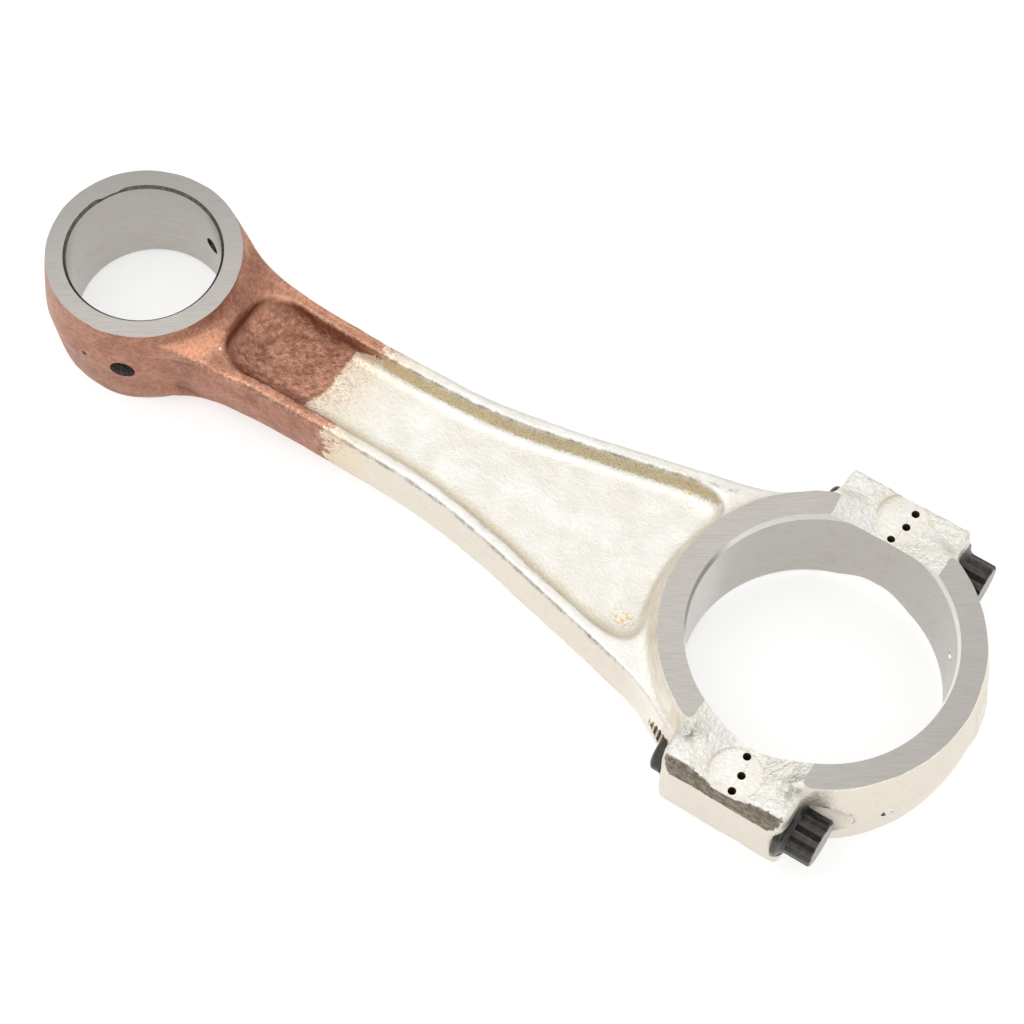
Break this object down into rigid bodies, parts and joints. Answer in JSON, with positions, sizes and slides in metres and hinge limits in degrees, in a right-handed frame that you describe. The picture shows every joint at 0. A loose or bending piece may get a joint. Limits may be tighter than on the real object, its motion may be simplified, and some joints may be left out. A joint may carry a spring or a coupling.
{
  "type": "connecting rod",
  "caption": "Split big-end connecting rod with a forged I-beam shank, a bearing cap held by twelve-point cap bolts, and plain bores for needle bearings",
  "frame": {"origin": "middle of the box the rod takes up, at the height of the face it lies on", "axes": "+X from the small end to the cap along the rod, +Z along both bores, +Y across the big end towards bolt_left"},
  "size_m": [0.2018, 0.0728, 0.0231],
  "materials": {
    "rod_forging": "forged steel, satin plated, copper plated round the small end, with ground faces and bores",
    "cap_forging": "forged steel, satin plated, with ground thrust faces and bore",
    "bolt_oxide": "black oxide on alloy steel, lightly oiled"
  },
  "bodies": {
    "rod": {"rod": "rod_forging"},
    "cap": {"cap": "cap_forging"},
    "bolt_left": {"bolt_left": "bolt_oxide"},
    "bolt_right": {"bolt_right": "bolt_oxide"}
  },
  "joints": [
    {"name": "cap_draw", "type": "slide", "parent": "rod", "child": "cap", "axis": [1, 0, 0], "range_m": [0, 0.016]},
    {"name": "bolt_left_turn", "type": "hinge", "parent": "cap", "child": "bolt_left", "pos_m": [0.08, 0.0302, 0.01155], "axis": [1, 0, 0], "range_deg": [0, 5760]},
    {"name": "bolt_right_turn", "type": "hinge", "parent": "cap", "child": "bolt_right", "pos_m": [0.08, -0.0302, 0.01155], "axis": [1, 0, 0], "range_deg": [0, 5760]}
  ],
  "couplings": [
    {"joint": "bolt_left_turn", "follows": "cap_draw", "rad_per_m": 6283.2},
    {"joint": "bolt_right_turn", "follows": "cap_draw", "rad_per_m": 6283.2}
  ]
}
